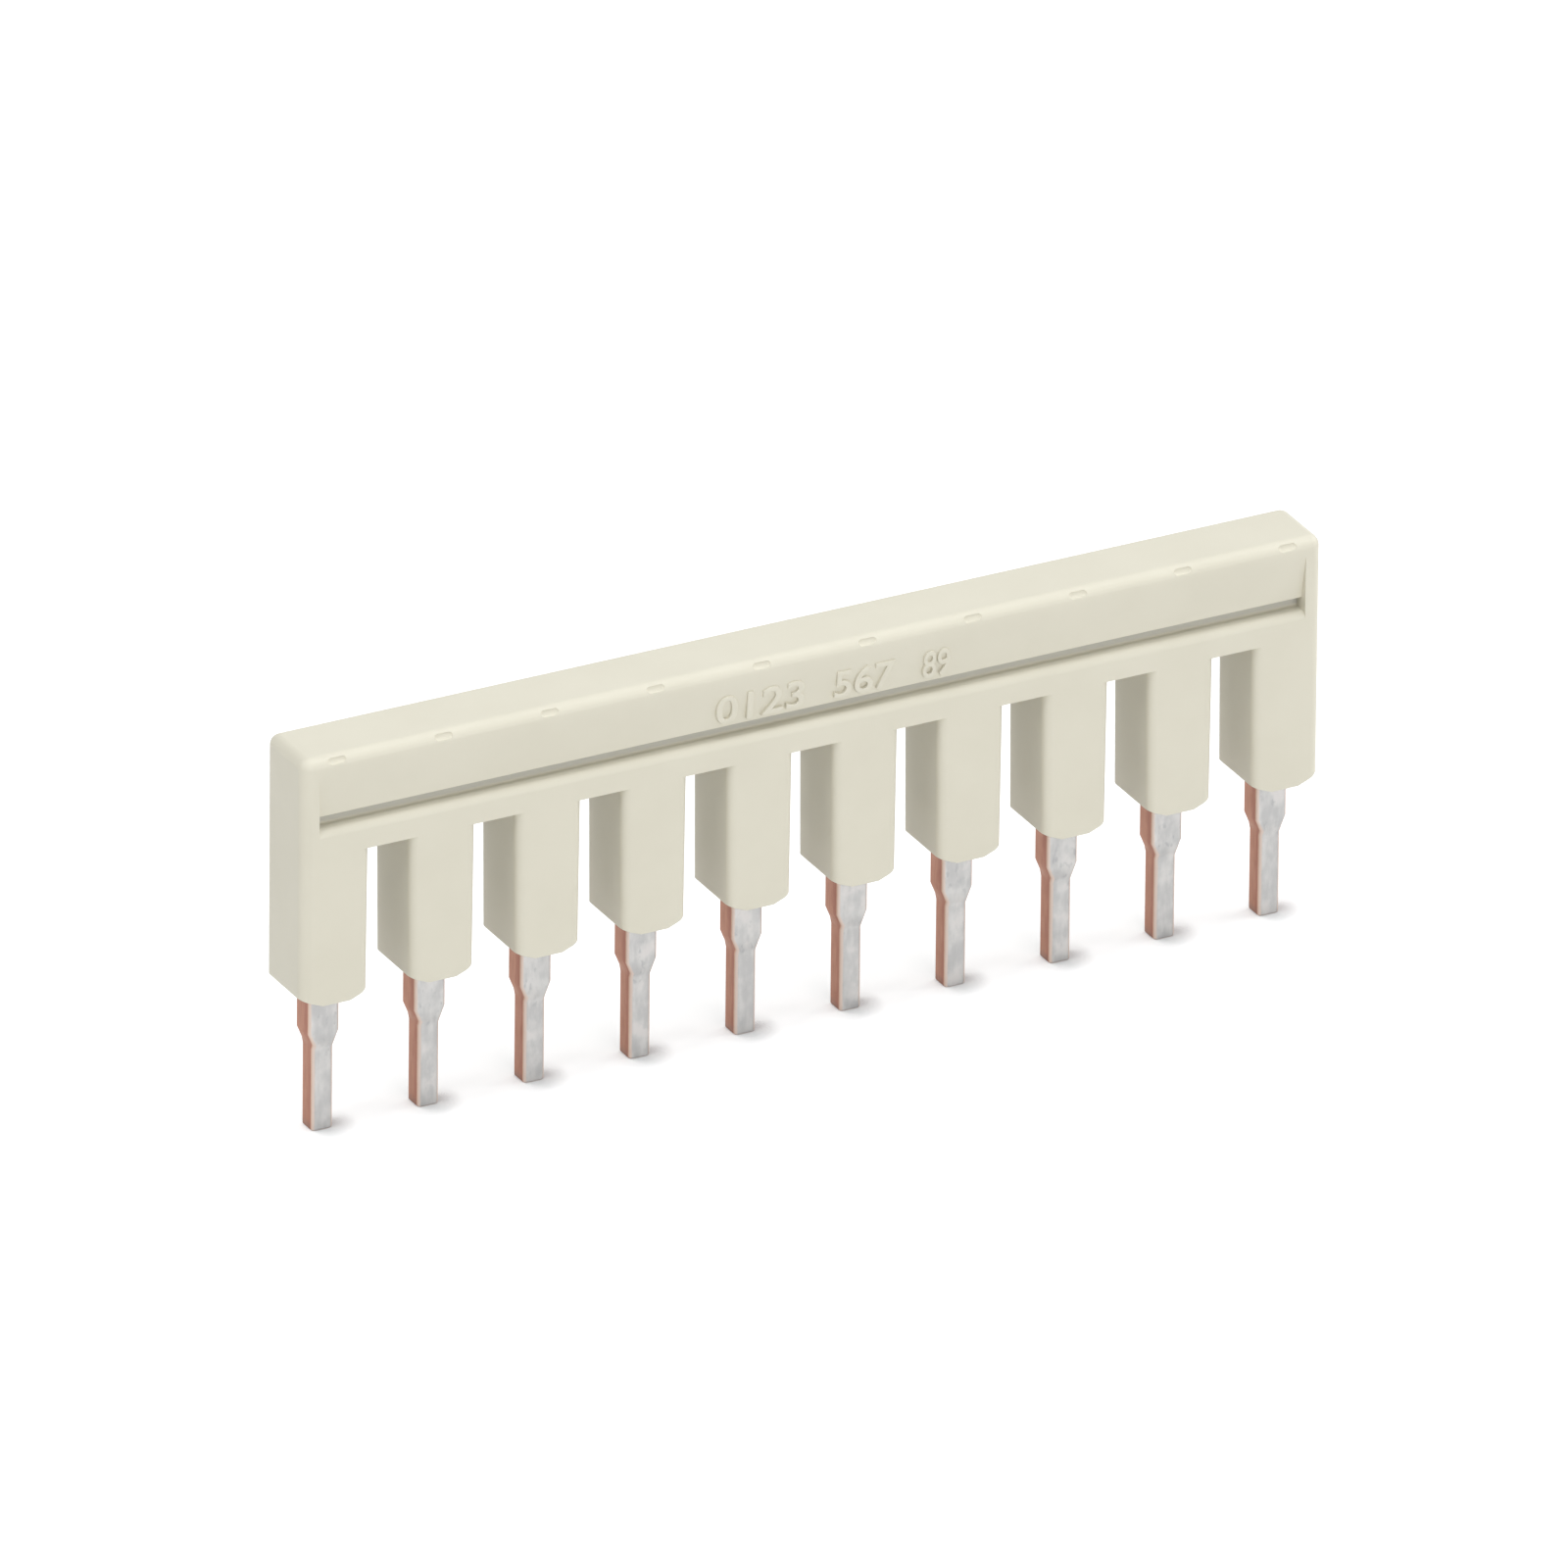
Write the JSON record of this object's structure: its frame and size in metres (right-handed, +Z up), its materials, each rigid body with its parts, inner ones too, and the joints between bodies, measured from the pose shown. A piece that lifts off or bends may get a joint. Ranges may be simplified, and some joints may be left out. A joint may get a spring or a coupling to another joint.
{
  "type": "terminal block jumper bar",
  "caption": "Plug-in comb jumper for rail terminals: a row of tinned copper pins joined inside one moulded cream housing with a hollow leg round each blade.",
  "frame": {"origin": "under the middle of the bar, in the plane of the pin tips", "axes": "X along the row of pins, -Y towards the front with the recessed panel, +Z up from the tips to the bar"},
  "size_m": [0.0484, 0.0034, 0.018],
  "materials": {
    "housing_plastic": "smooth satin moulded plastic, warm cream-grey",
    "tinned_copper": "tin-plated flat faces with streaks, bare copper on the stamped edges and tips"
  },
  "bodies": {
    "root": {"housing": "housing_plastic", "contact_comb": "tinned_copper"}
  },
  "joints": []
}
